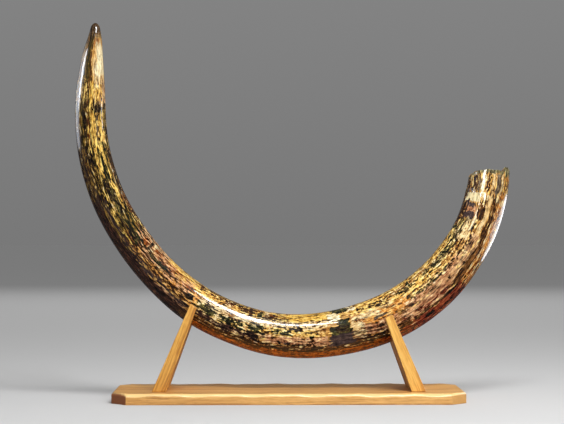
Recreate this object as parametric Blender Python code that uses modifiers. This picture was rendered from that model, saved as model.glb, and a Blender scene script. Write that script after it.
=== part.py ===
"""A mammoth tusk resting in a low wooden stand.

The tusk bows like a wide C that lies on its back: its broken root stands up at the right (+X) and
its worn tip, higher, at the left. Two leaning uprights on a clip-cornered board carry it.
Metres, +Z up, the board's underside at z = 0, the front facing -Y.
"""

import math

import bmesh
import bpy
import numpy as np

# --- Driving dimensions, in metres -----------------------------------------------------------
# The stand
BOARD_LENGTH = 0.998
BOARD_DEPTH = 0.290
BOARD_THICKNESS = 0.032
CORNER_CLIP = 0.044  # cut off each way at the board's four corners
BOARD_EDGE_ROUND = 0.009  # radius along the top edge
BOARD_EDGE_STEPS = 3

SUPPORT_DEPTH = 0.200  # front to back
SUPPORT_FOOT_OUTER = 0.3862  # from the board's middle to the outer side of the foot
SUPPORT_FOOT_WIDTH = 0.0407
OUTER_LEAN = math.radians(23.7)  # lean of the outer side from upright
INNER_LEAN = math.radians(19.8)  # lean of the inner side, so the upright tapers
SUPPORT_EDGE_EASE = 0.0015  # small chamfer on the long edges
LEFT_TOP_HEIGHT = 0.2785  # top of the outer side
RIGHT_TOP_HEIGHT = 0.2485
LEFT_TOP_SLOPE = math.radians(33.0)  # fall of the top cut towards the middle
RIGHT_TOP_SLOPE = math.radians(28.0)
GAP = 0.0003  # between pieces that rest on each other
NOTCH_EASE = 0.0006  # the notch is this much wider than the tusk all round

# The tusk. Its centreline goes round the bow's centre, which is in the stand's middle plane.
STAND_X = -0.0172  # the board's middle, so that the whole object is centred on x = 0
BOW_CENTRE_X = STAND_X + 0.0044
BOW_CENTRE_Z = 0.8191
# From root to tip: heading round the bow's centre (degrees; 0 is right, 90 is down, 180 is left),
# distance of the centreline from the bow's centre, width in the bow's plane, and how far the
# centreline stands behind the stand's middle plane (a tusk is never quite flat).
TUSK_STATIONS = (
    (15.0, 0.601, 0.1170, 0.034),
    (20.0, 0.611, 0.1200, 0.028),
    (32.0, 0.630, 0.1240, 0.015),
    (44.0, 0.6415, 0.1325, 0.006),
    (56.0, 0.647, 0.1370, 0.001),
    (68.0, 0.6455, 0.1365, 0.000),
    (80.0, 0.6405, 0.1300, 0.000),
    (92.0, 0.6345, 0.1240, 0.000),
    (104.0, 0.622, 0.1175, 0.000),
    (116.0, 0.609, 0.1145, 0.000),
    (128.0, 0.5925, 0.1075, -0.003),
    (140.0, 0.580, 0.1030, -0.008),
    (152.0, 0.575, 0.0980, -0.016),
    (164.0, 0.572, 0.0940, -0.027),
    (176.0, 0.570, 0.0890, -0.039),
    (185.0, 0.572, 0.0840, -0.047),
    (192.0, 0.579, 0.0705, -0.053),
    (197.0, 0.588, 0.0560, -0.057),
    (201.0, 0.5965, 0.0395, -0.059),
    (204.9, 0.611, 0.0200, -0.060),
)
TUSK_FLATNESS = 0.97  # thickness across the bow's plane over the width in it
TIP_ROUNDING = 0.014  # length over which the tip rounds off to its end

SIDES = 40  # facets round the tusk
RINGS = 80  # cross-sections between the root and the tip, besides those at ledges
RIM_RING_STEP = 0.007  # spacing of the closer rings at the root
TIP_RINGS = 5
CAVITY_RINGS = 9
HEADING_STEP = 0.05  # degrees to each side when the centreline's direction is taken

# The surface, as heights in metres. Around the tusk, 0 degrees is the outer side of the bow,
# 90 the front, 180 the inner side.
FLUTE_WAVES = ((5, 0.00035, 0.4, 1.3), (9, 0.00030, 2.1, -1.9), (14, 0.00020, 4.4, 2.6))
SWELL_WAVES = ((0.43, 0.00030, 0.9), (0.19, 0.00020, 2.2))  # length, height, phase
RELIEF_LIMIT = 0.0011  # the flutes and swells stay within this
RELIEF_FADE_HALF_WIDTH = 0.04  # all relief dies out in step with the width from here to the tip
# Long shallow grooves: place around, depth, half width (degrees), first and last heading, wander
GROOVES = (
    (38.0, 0.0016, 11.0, 18.0, 96.0, 5.0),
    (76.0, 0.0012, 9.0, 128.0, 192.0, -6.0),
    (118.0, 0.0013, 10.0, 22.0, 70.0, 4.0),
    (206.0, 0.0015, 12.0, 60.0, 150.0, 6.0),
    (292.0, 0.0016, 12.0, 30.0, 170.0, -7.0),
)
GROOVE_RUN_OUT = 9.0  # degrees of heading over which a groove fades at its ends
GROOVE_WANDER_RATE = 3.1  # a groove wanders this many times as fast as the heading turns
# Where the outer layer has flaked off: first and last heading, sides of the patch around the
# tusk, depth. The edge at the first heading is a sharp ledge and the other edges run out.
FLAKES = (
    (74.3, 80.5, 64.0, 131.0, 0.0016),
    (21.8, 25.5, 96.0, 176.0, 0.0012),
    (139.0, 146.0, 226.0, 290.0, 0.0015),
    (46.0, 51.0, 236.0, 300.0, 0.0014),
)
FLAKE_SIDE_FADE = 9.0  # degrees around
FLAKE_RAGGED = ((9.0, 0.35), (23.0, 0.25))  # waves round the tusk, degrees of heading
FLAKE_TAIL = 0.55  # share of a flake's length over which it runs out
LEDGE_LENGTH = 0.0030  # along the tusk, from the top of a ledge to its foot
LEDGE_RINGS = (-1, 1, 3)  # places of the rings at a ledge, in ledge lengths
LEDGE_CLEARANCE = 4  # no other ring comes this near, in ledge lengths

# The broken root rim, which is level although the tusk leans there
RIM_HEIGHT = 0.6630
RIM_CHIP_DEPTH = 0.0195  # how far the rim drops at its inner side
RIM_CHIP_HALF_ANGLE = 70.0
RIM_NICK_DEPTH = 0.0055  # and on both sides of the knob
RIM_NICK_HALF_ANGLE = 34.0
RIM_KNOB_HEIGHT = 0.0112  # from the bottom of the nick
RIM_KNOB_PLACE = 40.0
RIM_KNOB_HALF_ANGLE = 12.5
RIM_KNOB_STEEPNESS = 12  # the power in its profile
RIM_KNOB_INNER_SHARE = 0.15  # the knob stands on the outer half of the wall
RIM_WAVES = ((3, 0.0011, 0.5), (7, 0.0010, 2.0), (13, 0.0006, 4.1))
RIM_REACH = 0.075  # how far down the tusk the rim's unevenness is taken up

# The pulp cavity that opens at the root
CAVITY_DEPTH = 0.13
CAVITY_RING_SPREAD = 1.25  # above 1 the rings are closer together near the rim
CAVITY_TAPER = 0.60  # 1 is a straight cone and less is blunter
RIM_WALL = 0.0155
RIM_LIP_ROUND = 0.003  # the wall's edge is this much lower on the cavity side

# The tube that cuts the uprights' notches: first and last place along the tusk, and its rings
CUTTER_RUN = (0.15, 0.80)
CUTTER_RINGS = 60

TUSK_COLOUR = (0.42, 0.26, 0.11, 1.0)
TUSK_ROUGHNESS = 0.2
BOARD_COLOUR = (0.50, 0.30, 0.115, 1.0)
SUPPORT_COLOUR = (0.56, 0.34, 0.13, 1.0)
WOOD_ROUGHNESS = 0.4
SHARP_ANGLE = math.radians(40.0)  # edges sharper than this aren't shaded smooth


# --- Scene and materials ---------------------------------------------------------------------
def clear_scene():
    for item in list(bpy.data.objects):
        bpy.data.objects.remove(item, do_unlink=True)


def new_collection(name):
    collection = bpy.data.collections.new(name)
    bpy.context.scene.collection.children.link(collection)
    return collection


def plain_material(name, colour, roughness):
    material = bpy.data.materials.new(name)
    material.use_nodes = True
    shader = material.node_tree.nodes["Principled BSDF"]
    shader.inputs["Base Color"].default_value = colour
    shader.inputs["Roughness"].default_value = roughness
    shader.inputs["Metallic"].default_value = 0.0
    return material


def object_from_mesh(name, mesh, collection, material=None):
    item = bpy.data.objects.new(name, mesh)
    collection.objects.link(item)
    if material:
        mesh.materials.append(material)
    return item


# --- Tusk: the centreline and its cross-sections ---------------------------------------------
def natural_spline(knots, values, at):
    """A smooth curve through the knots, straight at both ends, read at the places in `at`."""
    knots, values, at = (np.asarray(a, float) for a in (knots, values, at))
    count = len(knots)
    step = np.diff(knots)
    slope = np.diff(values) / step
    system, right = np.eye(count), np.zeros(count)
    for k in range(1, count - 1):
        system[k, k - 1 : k + 2] = step[k - 1], 2 * (step[k - 1] + step[k]), step[k]
        right[k] = 6 * (slope[k] - slope[k - 1])
    bend = np.linalg.solve(system, right)
    k = np.clip(np.searchsorted(knots, at) - 1, 0, count - 2)
    t = at - knots[k]
    h = step[k]
    linear = slope[k] - h * (2 * bend[k] + bend[k + 1]) / 6
    return values[k] + t * (linear + t * (bend[k] / 2 + t * (bend[k + 1] - bend[k]) / (6 * h)))


STATION_HEADINGS, STATION_REACH, STATION_WIDTH, STATION_BACK = (
    np.array(column) for column in zip(*TUSK_STATIONS)
)
FIRST_HEADING, LAST_HEADING = STATION_HEADINGS[0], STATION_HEADINGS[-1]


def centreline(heading):
    """Points of the tusk's centreline at the given headings."""
    reach = natural_spline(STATION_HEADINGS, STATION_REACH, heading)
    back = natural_spline(STATION_HEADINGS, STATION_BACK, heading)
    turn = np.radians(heading)
    x = BOW_CENTRE_X + reach * np.cos(turn)
    z = BOW_CENTRE_Z - reach * np.sin(turn)
    return np.stack([x, back, z], axis=-1)


def unit(vectors):
    return vectors / np.linalg.norm(vectors, axis=-1, keepdims=True)


def section_axes(heading):
    """At each heading: the tusk's direction, the way out of the bow, and the way to the front."""
    along = unit(centreline(heading + HEADING_STEP) - centreline(heading - HEADING_STEP))
    turn = np.radians(heading)
    radial = np.stack([np.cos(turn), np.zeros_like(turn), -np.sin(turn)], axis=-1)
    front = unit(np.cross(along, radial))
    outward = unit(np.cross(front, along))
    return along, outward, front


def arc_lengths(samples=4000):
    """Headings from root to tip with the length along the centreline at each."""
    heading = np.linspace(FIRST_HEADING, LAST_HEADING, samples)
    steps = np.linalg.norm(np.diff(centreline(heading), axis=0), axis=-1)
    return heading, np.concatenate([[0.0], np.cumsum(steps)])


# --- Tusk: its surface -----------------------------------------------------------------------
def smooth_step(value):
    value = np.clip(value, 0.0, 1.0)
    return value * value * (3.0 - 2.0 * value)


def angle_between(a, b):
    """How far apart two places round the tusk are, in degrees from -180 to 180."""
    return (np.asarray(a) - b + 180.0) % 360.0 - 180.0


def waves(place, length):
    """The low flutes and swells of a grown tusk, in metres, kept within RELIEF_LIMIT."""
    turn = np.radians(place)
    height = np.zeros(np.broadcast(turn, length).shape)
    for count, rise, phase, twist in FLUTE_WAVES:
        height = height + rise * np.sin(count * turn + phase + twist * length)
    for wavelength, rise, phase in SWELL_WAVES:
        height = height + rise * np.sin(2 * math.pi * length / wavelength + phase + turn)
    return np.clip(height, -RELIEF_LIMIT, RELIEF_LIMIT)


def groove_depth(place, heading):
    depth = 0.0
    for centre, deepest, half_width, first, last, wander in GROOVES:
        middle = centre + wander * np.sin(np.radians((heading - first) * GROOVE_WANDER_RATE))
        across = np.exp(-((angle_between(place, middle) / half_width) ** 2))
        ends = smooth_step((heading - first) / GROOVE_RUN_OUT) * smooth_step(
            (last - heading) / GROOVE_RUN_OUT
        )
        depth = depth + deepest * across * ends
    return depth


def flake_depth(place, heading, degrees_per_metre):
    """The depth of the flaked patches: a ledge at the first heading, and run out elsewhere."""
    depth = 0.0
    ragged = sum(size * np.sin(np.radians(place) * count) for count, size in FLAKE_RAGGED)
    for first, last, side_a, side_b, deepest in FLAKES:
        ledge = smooth_step((heading - first - ragged) / (LEDGE_LENGTH * degrees_per_metre))
        tail = smooth_step((last - heading) / (FLAKE_TAIL * (last - first)))
        middle, half = (side_a + side_b) / 2, (side_b - side_a) / 2
        inside = half - np.abs(angle_between(place, middle))
        depth = depth + deepest * ledge * tail * smooth_step(inside / FLAKE_SIDE_FADE)
    return depth


def tusk_width(heading, length_left):
    """Width in the bow's plane, rounding off to nothing over the last of the tip."""
    width = natural_spline(STATION_HEADINGS, STATION_WIDTH, heading)
    share = np.clip(1.0 - length_left / TIP_ROUNDING, 0.0, 1.0)
    return width * np.sqrt(1.0 - share**2)


def ring(heading, half_width, half_thickness, place):
    """Points round one cross-section. half_width and half_thickness may vary round it."""
    _, outward, front = section_axes(np.array([heading]))
    turn = np.radians(place)[:, None]
    return (
        centreline(np.array([heading]))
        + outward * np.cos(turn) * np.reshape(half_width, (-1, 1))
        + front * np.sin(turn) * np.reshape(half_thickness, (-1, 1))
    )


def rim_rise(place, knob_share=1.0):
    """How far the broken rim stands above its level plane, round the root."""
    chip = smooth_step(1.0 - np.abs(angle_between(place, 180.0)) / RIM_CHIP_HALF_ANGLE)
    from_knob = np.abs(angle_between(place, RIM_KNOB_PLACE))
    nick = smooth_step(2.0 * (1.0 - from_knob / RIM_NICK_HALF_ANGLE))
    knob = np.exp(-((from_knob / RIM_KNOB_HALF_ANGLE) ** RIM_KNOB_STEEPNESS))
    rise = knob_share * RIM_KNOB_HEIGHT * knob - RIM_CHIP_DEPTH * chip - RIM_NICK_DEPTH * nick
    for count, height, phase in RIM_WAVES:
        rise = rise + height * np.sin(count * np.radians(place) + phase)
    return rise


def level_rim(points, distance, place, rim_points, knob_share=1.0):
    """Slides points along the tusk so that the first ring lies on the broken rim."""
    along = section_axes(np.array([FIRST_HEADING]))[0]
    slide = (RIM_HEIGHT + rim_rise(place, knob_share) - rim_points[:, 2]) / along[0, 2]
    fade = max(0.0, 1.0 - distance / RIM_REACH)
    return points + along * (slide * fade)[:, None]


def ring_lengths(total):
    """Lengths along the centreline where the outer surface has a cross-section."""
    heading, length = arc_lengths()
    plain = list(np.linspace(RIM_REACH, total - TIP_ROUNDING, RINGS))
    root = list(np.arange(0.0, RIM_REACH - RIM_RING_STEP / 2, RIM_RING_STEP))
    tip_turn = np.linspace(0.0, math.pi / 2, TIP_RINGS + 2)[1:-1]
    tip = [total - TIP_ROUNDING * (1.0 - math.sin(turn)) for turn in tip_turn]
    wanted = root + plain + tip
    for first, *_ in FLAKES:
        start = float(np.interp(first, heading, length))
        ledge = [start + place * LEDGE_LENGTH for place in LEDGE_RINGS]
        clear = LEDGE_CLEARANCE * LEDGE_LENGTH
        wanted = [w for w in wanted if abs(w - start) > clear] + ledge
    return sorted(wanted)


def outer_rings(place, extra=0.0, relief=True, lengths=None):
    """The tusk's outer cross-sections, from root to tip."""
    heading, length = arc_lengths()
    total = length[-1]
    degrees_per_metre = (LAST_HEADING - FIRST_HEADING) / total
    rings = []
    for distance in lengths if lengths is not None else ring_lengths(total):
        here = float(np.interp(distance, length, heading))
        half = tusk_width(here, total - distance) / 2
        height = np.full(len(place), extra)
        if relief:
            shrink = float(np.clip(half / RELIEF_FADE_HALF_WIDTH, 0.0, 1.0))
            height = height + shrink * (
                waves(place, distance)
                - groove_depth(place, here)
                - flake_depth(place, here, degrees_per_metre)
            )
        points = ring(here, half + height, half * TUSK_FLATNESS + height, place)
        if not rings:
            rim_points = points
        rings.append(level_rim(points, distance, place, rim_points) if relief else points)
    return rings


def cavity_rings(place, rim_points):
    """The pulp cavity's cross-sections, from the rim down to its blunt point."""
    heading, length = arc_lengths()
    mouth_half_width = tusk_width(FIRST_HEADING, length[-1]) / 2 - RIM_WALL
    rings = []
    for k in range(CAVITY_RINGS):
        share = (k / CAVITY_RINGS) ** CAVITY_RING_SPREAD
        distance = CAVITY_DEPTH * share
        here = float(np.interp(distance, length, heading))
        half = mouth_half_width * (1.0 - share) ** CAVITY_TAPER
        points = ring(here, half, half * TUSK_FLATNESS, place)
        points = level_rim(points, distance, place, rim_points, RIM_KNOB_INNER_SHARE)
        if k == 0:
            points = points + section_axes(np.array([FIRST_HEADING]))[0] * RIM_LIP_ROUND
        rings.append(points)
    return rings


def closed_mesh(name, vertices, faces):
    mesh = bpy.data.meshes.new(name)
    mesh.from_pydata([tuple(v) for v in vertices], [], faces)
    mesh.validate()
    mesh.shade_smooth()
    mesh.set_sharp_from_angle(angle=SHARP_ANGLE)
    return mesh


def build_tusk(collection):
    place = np.arange(SIDES) * 360.0 / SIDES
    outer = outer_rings(place)
    inner = cavity_rings(place, outer_rings(place, lengths=[0.0], relief=False)[0])
    tip = centreline(np.array([LAST_HEADING]))[0]
    end_heading = float(np.interp(CAVITY_DEPTH, *reversed(arc_lengths())))
    cavity_end = centreline(np.array([end_heading]))[0]

    vertices = np.concatenate(outer + inner + [tip[None], cavity_end[None]])
    inner_start = len(outer) * SIDES
    tip_index, end_index = len(vertices) - 2, len(vertices) - 1

    def at(start, ring_index, side):
        return start + ring_index * SIDES + side % SIDES

    faces = []
    for j in range(SIDES):
        for i in range(len(outer) - 1):
            faces.append((at(0, i, j), at(0, i, j + 1), at(0, i + 1, j + 1), at(0, i + 1, j)))
        last = len(outer) - 1
        faces.append((at(0, last, j), at(0, last, j + 1), tip_index))
        rim_in = (at(inner_start, 0, j), at(inner_start, 0, j + 1))
        faces.append((at(0, 0, j), rim_in[0], rim_in[1], at(0, 0, j + 1)))
        for i in range(len(inner) - 1):
            a, b = at(inner_start, i, j), at(inner_start, i + 1, j)
            c, d = at(inner_start, i + 1, j + 1), at(inner_start, i, j + 1)
            faces.append((a, b, c, d))
        last = len(inner) - 1
        faces.append((at(inner_start, last, j), end_index, at(inner_start, last, j + 1)))
    mesh = closed_mesh("tusk", vertices, faces)
    material = plain_material("tusk", TUSK_COLOUR, TUSK_ROUGHNESS)
    return object_from_mesh("tusk", mesh, collection, material)


# --- Stand -----------------------------------------------------------------------------------
def box_mesh(name, place_corner):
    """A cube whose corners are moved to place_corner(sx, sy, sz), with each s -1 or 1."""
    mesh = bpy.data.meshes.new(name)
    bm = bmesh.new()
    bmesh.ops.create_cube(bm, size=2.0)
    for vertex in bm.verts:
        sx, sy, sz = (1 if c > 0 else -1 for c in vertex.co)
        vertex.co = place_corner(sx, sy, sz)
    bmesh.ops.recalc_face_normals(bm, faces=bm.faces)
    bm.to_mesh(mesh)
    bm.free()
    return mesh


def bevel_edges(mesh, wanted, width, steps):
    """Bevels the edges for which wanted(first corner, second corner) holds."""
    bm = bmesh.new()
    bm.from_mesh(mesh)
    edges = [e for e in bm.edges if wanted(e.verts[0].co, e.verts[1].co)]
    bmesh.ops.bevel(
        bm, geom=edges, offset=width, offset_type="OFFSET", segments=steps, profile=0.5,
        affect="EDGES", clamp_overlap=True,
    )
    bm.to_mesh(mesh)
    bm.free()


def build_board(collection):
    half_length, half_depth = BOARD_LENGTH / 2, BOARD_DEPTH / 2

    def corner(sx, sy, sz):
        return (
            STAND_X + sx * half_length,
            sy * half_depth,
            BOARD_THICKNESS if sz > 0 else 0.0,
        )

    def upright(a, b):
        return abs(a.z - b.z) > BOARD_THICKNESS / 2

    def on_top(a, b):
        return min(a.z, b.z) > BOARD_THICKNESS * 0.99

    mesh = box_mesh("base_board", corner)
    bevel_edges(mesh, upright, CORNER_CLIP, 1)
    bevel_edges(mesh, on_top, BOARD_EDGE_ROUND, BOARD_EDGE_STEPS)
    material = plain_material("board_wood", BOARD_COLOUR, WOOD_ROUGHNESS)
    return object_from_mesh("base_board", mesh, collection, material)


def notch_cutter(name, collection):
    """A smooth tube round the tusk, a little wider than it, that cuts the notches."""
    place = np.arange(SIDES) * 360.0 / SIDES
    _, length = arc_lengths()
    first, last = CUTTER_RUN
    run = np.linspace(first * length[-1], last * length[-1], CUTTER_RINGS)
    rings = outer_rings(place, extra=RELIEF_LIMIT + NOTCH_EASE, relief=False, lengths=run)
    vertices = np.concatenate(rings)
    faces = [tuple(reversed(range(SIDES)))]
    faces.append(tuple((len(rings) - 1) * SIDES + j for j in range(SIDES)))
    for i in range(len(rings) - 1):
        for j in range(SIDES):
            k = (j + 1) % SIDES
            a, b = i * SIDES, (i + 1) * SIDES
            faces.append((a + j, a + k, b + k, b + j))
    cutter = object_from_mesh(name, closed_mesh(name, vertices, faces), collection)
    cutter.display_type = "WIRE"
    cutter.hide_render = True
    return cutter


def build_support(name, side, top_height, top_slope, cutter, collection, material):
    """One leaning upright. side is -1 at the left and 1 at the right."""
    foot = BOARD_THICKNESS + GAP
    outer_foot = SUPPORT_FOOT_OUTER
    inner_foot = SUPPORT_FOOT_OUTER - SUPPORT_FOOT_WIDTH
    outer_top = outer_foot - (top_height - foot) * math.tan(OUTER_LEAN)
    # The inner side meets the sloping top cut, which falls from the outer side.
    fall, lean = math.tan(top_slope), math.tan(INNER_LEAN)
    start_gap = outer_top - (inner_foot - (top_height - foot) * lean)
    across = start_gap / (1.0 + lean * fall)
    inner_top, inner_height = outer_top - across, top_height - across * fall

    def corner(sx, sy, sz):
        if sz < 0:
            reach, height = (outer_foot if sx > 0 else inner_foot), foot
        else:
            reach, height = (outer_top, top_height) if sx > 0 else (inner_top, inner_height)
        return (STAND_X + side * reach, sy * SUPPORT_DEPTH / 2, height)

    mesh = box_mesh(name, corner)
    support = object_from_mesh(name, mesh, collection, material)
    ease = support.modifiers.new("eased edges", "BEVEL")
    ease.width = SUPPORT_EDGE_EASE
    ease.segments = 1
    ease.limit_method = "ANGLE"
    notch = support.modifiers.new("notch", "BOOLEAN")
    notch.operation = "DIFFERENCE"
    notch.solver = "EXACT"
    notch.object = cutter
    return support


def main():
    clear_scene()
    parts = new_collection("mammoth_tusk_on_stand")
    cutters = new_collection("cutters")
    build_tusk(parts)
    build_board(parts)
    cutter = notch_cutter("tusk_clearance", cutters)
    wood = plain_material("support_wood", SUPPORT_COLOUR, WOOD_ROUGHNESS)
    build_support("left_support", -1, LEFT_TOP_HEIGHT, LEFT_TOP_SLOPE, cutter, parts, wood)
    build_support("right_support", 1, RIGHT_TOP_HEIGHT, RIGHT_TOP_SLOPE, cutter, parts, wood)


main()
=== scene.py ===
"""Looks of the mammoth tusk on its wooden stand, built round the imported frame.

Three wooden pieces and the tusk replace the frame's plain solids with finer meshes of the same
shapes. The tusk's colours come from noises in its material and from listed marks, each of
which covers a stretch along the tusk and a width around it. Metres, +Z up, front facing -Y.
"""

import contextlib
import math

import bmesh
import bpy
import numpy as np
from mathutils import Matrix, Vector


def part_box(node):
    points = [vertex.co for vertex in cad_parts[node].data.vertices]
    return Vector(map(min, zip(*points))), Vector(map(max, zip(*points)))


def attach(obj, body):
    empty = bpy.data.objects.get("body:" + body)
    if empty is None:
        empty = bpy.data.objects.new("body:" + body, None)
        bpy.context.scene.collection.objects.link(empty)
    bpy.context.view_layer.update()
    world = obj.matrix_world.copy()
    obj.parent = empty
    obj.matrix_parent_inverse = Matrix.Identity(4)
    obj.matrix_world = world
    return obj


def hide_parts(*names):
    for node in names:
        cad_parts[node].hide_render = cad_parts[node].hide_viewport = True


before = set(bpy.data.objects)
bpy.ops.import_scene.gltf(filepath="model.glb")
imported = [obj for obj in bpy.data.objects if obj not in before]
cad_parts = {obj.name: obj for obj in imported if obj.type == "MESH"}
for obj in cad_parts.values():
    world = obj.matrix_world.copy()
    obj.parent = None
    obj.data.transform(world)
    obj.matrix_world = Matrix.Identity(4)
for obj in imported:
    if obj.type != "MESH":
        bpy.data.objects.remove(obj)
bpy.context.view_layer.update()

# --- The tusk's shape (the same driving dimensions as the frame's) ---
STAND_X = -0.0172
BOW_CENTRE_X = STAND_X + 0.0044
BOW_CENTRE_Z = 0.8191
# Heading round the bow (0 right, 90 down, 180 left), reach from its centre, width, and set-back
TUSK_STATIONS = (
    (15, 0.601, 0.117, 0.034), (20, 0.611, 0.12, 0.028),
    (32, 0.63, 0.124, 0.015), (44, 0.6415, 0.1325, 0.006),
    (56, 0.647, 0.137, 0.001), (68, 0.6455, 0.1365, 0),
    (80, 0.6405, 0.13, 0), (92, 0.6345, 0.124, 0),
    (104, 0.622, 0.1175, 0), (116, 0.609, 0.1145, 0),
    (128, 0.5925, 0.1075, -0.003), (140, 0.58, 0.103, -0.008),
    (152, 0.575, 0.098, -0.016), (164, 0.572, 0.094, -0.027),
    (176, 0.57, 0.089, -0.039), (185, 0.572, 0.084, -0.047),
    (192, 0.579, 0.0705, -0.053), (197, 0.588, 0.056, -0.057),
    (201, 0.5965, 0.0395, -0.059), (204.9, 0.611, 0.02, -0.06),
)
TUSK_FLATNESS = 0.97
TIP_ROUNDING = 0.014

SIDES = 144
RINGS = 620  # between the rim's closer rings and the tip
RIM_RING_STEP = 0.0025
TIP_RINGS = 9
WALL_RINGS = 5  # across the broken end of the wall, between its outer and inner edge
CAVITY_RINGS = 22
HEADING_STEP = 0.05

# Around the tusk, 0 degrees is the outer side of the bow, 90 the front, 180 the inner side.
# Flutes: waves round it, height, phase, twist per metre. Swells: wavelength, height, phase.
FLUTE_WAVES = ((5, 0.00035, 0.4, 1.3), (9, 0.0003, 2.1, -1.9), (14, 0.0002, 4.4, 2.6))
SWELL_WAVES = ((0.43, 0.0003, 0.9), (0.19, 0.0002, 2.2))
RELIEF_LIMIT = 0.0011
RELIEF_FADE_HALF_WIDTH = 0.04
# Each groove: place, depth, half width, first and last heading, wander in degrees
GROOVES = (
    (38, 0.0016, 11, 18, 96, 5), (76, 0.0012, 9, 128, 192, -6),
    (118, 0.0013, 10, 22, 70, 4), (206, 0.0015, 12, 60, 150, 6),
    (292, 0.0016, 12, 30, 170, -7),
)
GROOVE_RUN_OUT = 9
GROOVE_WANDER_RATE = 3.1
# Each flaked patch: first and last heading, lowest and highest place, depth
FLAKES = (
    (74.3, 80.5, 64, 131, 0.0016), (21.8, 25.5, 96, 176, 0.0012),
    (139, 146, 226, 290, 0.0015), (46, 51, 236, 300, 0.0014),
)
FLAKE_SIDE_FADE = 9
FLAKE_RAGGED = ((9, 0.35), (23, 0.25))
FLAKE_TAIL = 0.55
LEDGE_LENGTH = 0.0022

RIM_HEIGHT = 0.663
RIM_CHIP_DEPTH = 0.0195
RIM_CHIP_HALF_ANGLE = 70
RIM_NICK_DEPTH = 0.0055
RIM_NICK_HALF_ANGLE = 34
RIM_NICK_STEEPNESS = 2
RIM_KNOB_HEIGHT = 0.0112
RIM_KNOB_PLACE = 40
RIM_KNOB_HALF_ANGLE = 12.5
RIM_KNOB_STEEPNESS = 12
RIM_KNOB_INNER_SHARE = 0.15
# Waves of the rim: count round it, height, phase
RIM_WAVES = ((3, 0.0011, 0.5), (7, 0.001, 2), (13, 0.0006, 4.1))
RIM_REACH = 0.075
CAVITY_DEPTH = 0.13
CAVITY_RING_SPREAD = 1.25
CAVITY_TAPER = 0.6
RIM_WALL = 0.0155
RIM_LIP_ROUND = 0.003

# Finer than the frame: pebbling of the surface, the ragged break of the rim, the cavity's fibres.
# Noise cells are given as their length along the tusk in metres, their number round it, and a seed.
PEBBLE_HEIGHT = 0.00009
PEBBLE_LAYERS = ((1, (0.03, 22, 5)), (0.5, (0.011, 54, 6)))
RAGGED_HEIGHT = 0.0009
RAGGED_RISE = 0.9
RAGGED_CELLS = (0.011, 70, 9)
RAGGED_REACH = 0.06  # the noise that the wall's rings cross
RIM_OUTER_RISE = 0.00096
FIBRE_HEIGHT = 0.0007
FIBRE_STRETCH = 0.3
FIBRE_CELLS = (0.02, 40, 8)
# How far inside a point counts as: a start and a gain, across the broken wall and down the cavity
WALL_HOLLOW = (0.35, 0.3)
CAVITY_HOLLOW = (0.75, 0.25)

NOISE_LENGTH = 3  # more than the tusk is long
TIP_STAIN = 0.075  # the tip is worn grey over this length
TIP_STAIN_FULL = 0.018  # and evenly so over its last part
GIRTH_RADIUS = 0.058  # the straightened tusk, on which its pattern is laid, is this thick


# --- Small mathematics ---
def natural_spline(knots, values, at):
    """A smooth curve through the knots, straight at both ends, read at the places in `at`."""
    knots, values, at = (np.asarray(a, float) for a in (knots, values, at))
    count = len(knots)
    step = np.diff(knots)
    slope = np.diff(values) / step
    system, right = np.eye(count), np.zeros(count)
    for k in range(1, count - 1):
        system[k, k - 1 : k + 2] = step[k - 1], 2 * (step[k - 1] + step[k]), step[k]
        right[k] = 6 * (slope[k] - slope[k - 1])
    bend = np.linalg.solve(system, right)
    k = np.clip(np.searchsorted(knots, at) - 1, 0, count - 2)
    t = at - knots[k]
    h = step[k]
    linear = slope[k] - h * (2 * bend[k] + bend[k + 1]) / 6
    return values[k] + t * (linear + t * (bend[k] / 2 + t * (bend[k + 1] - bend[k]) / (6 * h)))


def unit(vectors):
    return vectors / np.linalg.norm(vectors, axis=-1, keepdims=True)


def smooth_step(value):
    value = np.clip(value, 0, 1)
    return value * value * (3 - 2 * value)


def angle_between(a, b):
    """How far apart two places round the tusk are, in degrees from -180 to 180."""
    return (np.asarray(a) - b + 180) % 360 - 180


def lattice_noise(place, along, cell, cells_round, seed):
    """Smooth noise from -1 to 1 over the tusk's surface, closed round it."""
    random = np.random.default_rng(seed)
    rows = int(NOISE_LENGTH / cell) + 4
    grid = random.uniform(-1, 1, (rows, cells_round))
    u = np.asarray(along) / cell + 1
    v = (np.asarray(place) / 360 % 1) * cells_round
    u, v = np.broadcast_arrays(u, v)
    i, j = np.floor(u).astype(int), np.floor(v).astype(int)
    a, b = smooth_step(u - i), smooth_step(v - j)
    i = np.clip(i, 0, rows - 2)
    near, far = j % cells_round, (j + 1) % cells_round
    low = grid[i, near] * (1 - b) + grid[i, far] * b
    high = grid[i + 1, near] * (1 - b) + grid[i + 1, far] * b
    return low * (1 - a) + high * a


# --- The tusk's surface ---
STATION_HEADINGS, STATION_REACH, STATION_WIDTH, STATION_BACK = np.array(TUSK_STATIONS).T
FIRST_HEADING, LAST_HEADING = STATION_HEADINGS[0], STATION_HEADINGS[-1]


def centreline(heading):
    reach = natural_spline(STATION_HEADINGS, STATION_REACH, heading)
    back = natural_spline(STATION_HEADINGS, STATION_BACK, heading)
    turn = np.radians(heading)
    x = BOW_CENTRE_X + reach * np.cos(turn)
    z = BOW_CENTRE_Z - reach * np.sin(turn)
    return np.stack([x, back, z], axis=-1)


def section_axes(heading):
    """At each heading: the tusk's direction, the way out of the bow, and the way to the front."""
    along = unit(centreline(heading + HEADING_STEP) - centreline(heading - HEADING_STEP))
    turn = np.radians(heading)
    radial = np.stack([np.cos(turn), np.zeros_like(turn), -np.sin(turn)], axis=-1)
    front = unit(np.cross(along, radial))
    outward = unit(np.cross(front, along))
    return along, outward, front


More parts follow.
